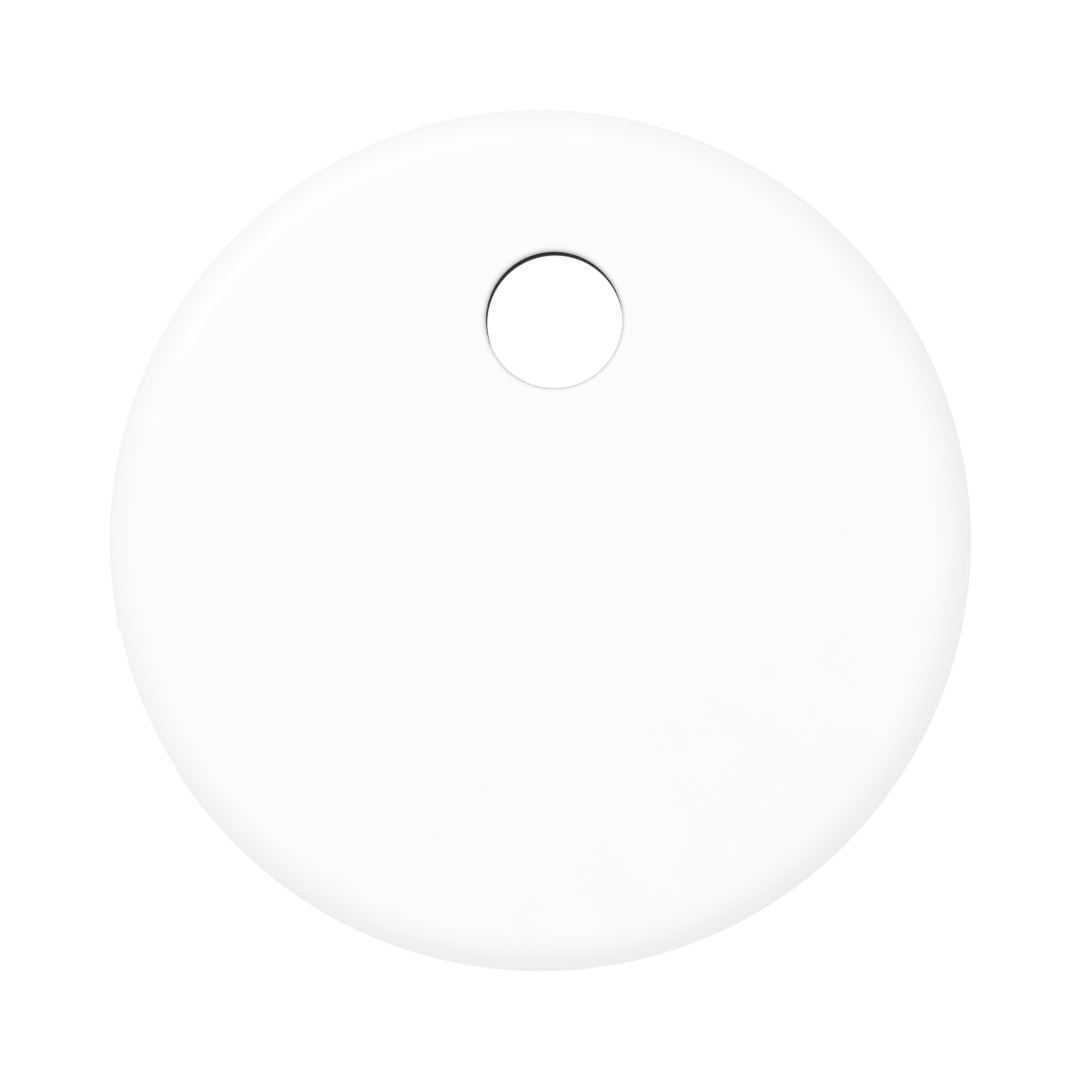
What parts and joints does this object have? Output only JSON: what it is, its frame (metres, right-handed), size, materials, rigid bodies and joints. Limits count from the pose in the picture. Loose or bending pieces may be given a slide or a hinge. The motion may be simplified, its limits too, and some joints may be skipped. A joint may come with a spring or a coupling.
{
  "type": "bluetooth tracker tag",
  "caption": "Slim round white tracker disc with a rubber-lined keyring hole near its edge; the push-fit front cover is its button and lifts off to change the coin cell.",
  "frame": {"origin": "centre of the flat rear face", "axes": "+Z towards the front face, +Y from the centre towards the keyring hole, +X to the right as seen from the front"},
  "size_m": [0.038, 0.038, 0.0064],
  "materials": {
    "shell_plastic": "satin",
    "sleeve_rubber": "matte",
    "gasket_silicone": "matte",
    "pad_foam": "matte",
    "glue_tape": "matte",
    "piezo_brass": "satin",
    "piezo_ceramic": "satin",
    "spring_bronze": "polished",
    "board_laminate": "satin",
    "holder_plastic": "matte",
    "chip_epoxy": "matte",
    "crystal_metal": "satin",
    "antenna_ceramic": "satin",
    "capacitor_ceramic": "satin",
    "inductor_ferrite": "matte",
    "switch_plastic": "matte",
    "switch_steel": "satin",
    "cell_steel": "polished",
    "cell_nylon": "matte",
    "cell_lithium": "satin",
    "cell_separator": "matte",
    "cell_oxide": "matte"
  },
  "bodies": {
    "case": {"rear_shell": "shell_plastic", "hole_sleeve": "sleeve_rubber", "piezo_adhesive": "glue_tape", "piezo_plate": "piezo_brass", "piezo_ceramic": "piezo_ceramic", "piezo_contact_inner": "spring_bronze", "piezo_contact_outer": "spring_bronze", "circuit_board": "board_laminate", "battery_holder": "holder_plastic", "negative_contact": "spring_bronze", "positive_contact_right": "spring_bronze", "positive_contact_left": "spring_bronze", "bluetooth_chip": "chip_epoxy", "piezo_driver_chip": "chip_epoxy", "radio_crystal": "crystal_metal", "clock_crystal": "crystal_metal", "chip_antenna": "antenna_ceramic", "boost_inductor": "inductor_ferrite", "boost_diode": "chip_epoxy", "bulk_capacitor_1": "capacitor_ceramic", "bulk_capacitor_2": "capacitor_ceramic", "chip_capacitor_1": "capacitor_ceramic", "chip_capacitor_2": "capacitor_ceramic", "chip_capacitor_3": "capacitor_ceramic", "chip_capacitor_4": "capacitor_ceramic", "chip_capacitor_5": "capacitor_ceramic", "chip_capacitor_6": "capacitor_ceramic", "chip_resistor_1": "chip_epoxy", "chip_resistor_2": "chip_epoxy", "chip_resistor_3": "chip_epoxy", "chip_resistor_4": "chip_epoxy", "switch_body": "switch_plastic", "switch_plate": "switch_steel", "switch_dome": "switch_steel"},
    "cover_seal": {"rim_gasket": "gasket_silicone"},
    "front_cover": {"front_cover": "shell_plastic", "cell_pad": "pad_foam"},
    "switch_plunger": {"switch_plunger": "shell_plastic"},
    "battery": {"battery_can": "cell_steel", "battery_cap": "cell_steel", "battery_seal": "cell_nylon", "battery_anode": "cell_lithium", "battery_separator": "cell_separator", "battery_cathode": "cell_oxide"}
  },
  "joints": [
    {"name": "front_cover_lift", "type": "slide", "parent": "case", "child": "cover_seal", "axis": [0, 0, 1], "range_m": [0, 0.02]},
    {"name": "face_press", "type": "slide", "parent": "cover_seal", "child": "front_cover", "axis": [0, 0, -1], "range_m": [0, 0.00025], "stiffness_N_per_m": 10000, "deforming": ["rim_gasket", "hole_sleeve", "switch_dome", "cell_pad"]},
    {"name": "switch_press", "type": "slide", "parent": "case", "child": "switch_plunger", "axis": [0, 0, -1], "range_m": [0, 0.00025]},
    {"name": "battery_lift", "type": "slide", "parent": "case", "child": "battery", "axis": [0, 0, 1], "range_m": [0, 0.01]}
  ],
  "couplings": [
    {"joint": "battery_lift", "follows": "front_cover_lift", "ratio": 0.5},
    {"joint": "switch_press", "follows": "face_press", "ratio": 1}
  ]
}
